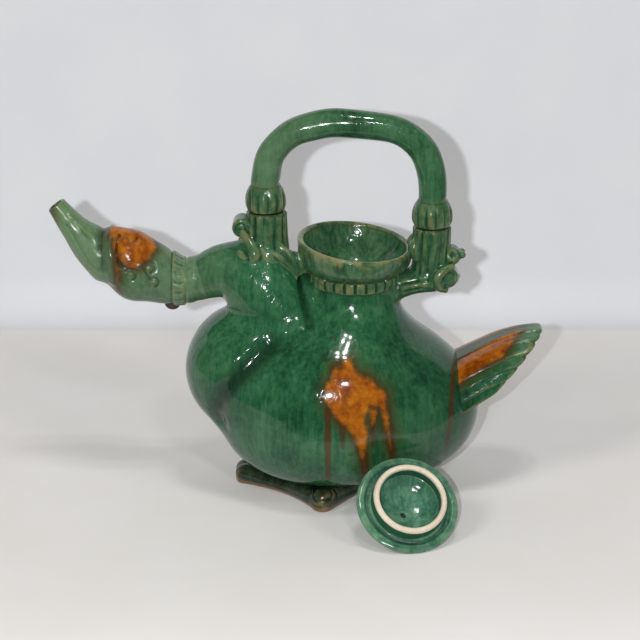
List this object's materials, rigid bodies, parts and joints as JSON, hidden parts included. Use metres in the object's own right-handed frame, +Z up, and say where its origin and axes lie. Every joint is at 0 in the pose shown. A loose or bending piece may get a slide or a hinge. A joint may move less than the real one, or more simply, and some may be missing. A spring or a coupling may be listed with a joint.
{
  "type": "duck-shaped teapot",
  "caption": "Green-glazed pottery teapot shaped as a sitting duck, its beak the spout, with a wide mouth cup, an arched overhead handle and the lid leaning beside it.",
  "frame": {"origin": "on the flat underside of the feet, below the belly", "axes": "+Z up, -X the way the duck looks, +X to its tail, -Y its left side, where the lid lies"},
  "size_m": [0.286, 0.1647, 0.2292],
  "materials": {
    "green_glaze": "glossy mottled green lead glaze with a fine crackle and amber splashes",
    "relief_glaze": "glossy green glaze, thin and olive on the raised parts",
    "feet_glaze": "glossy dark green glaze, brown at the toe tips where the clay shows",
    "dark_glaze": "dark pooled glaze",
    "pale_glaze": "glossy paler mottled green glaze",
    "bare_clay": "matt cream clay without glaze"
  },
  "bodies": {
    "pot": {"body_left": "green_glaze", "body_right": "green_glaze", "duck_neck": "green_glaze", "duck_head": "green_glaze", "neck_collar": "relief_glaze", "throat_stub": "dark_glaze", "mouth_cup": "green_glaze", "bead_band": "relief_glaze", "handle_arch": "green_glaze", "front_bulb": "relief_glaze", "rear_bulb": "relief_glaze", "front_cuff": "relief_glaze", "rear_cuff": "relief_glaze", "front_bow": "relief_glaze", "rear_bow": "relief_glaze", "sash_left": "relief_glaze", "sash_right": "relief_glaze", "handle_shelf": "green_glaze", "tail_fan": "green_glaze", "webbed_feet": "feet_glaze"},
    "lid": {"lid_plate": "pale_glaze", "lid_flange": "bare_clay", "lid_knob": "pale_glaze"}
  },
  "joints": [
    {"name": "lid_lift", "type": "slide", "parent": "pot", "child": "lid", "axis": [0, 0, 1], "range_m": [0, 0.2]}
  ]
}
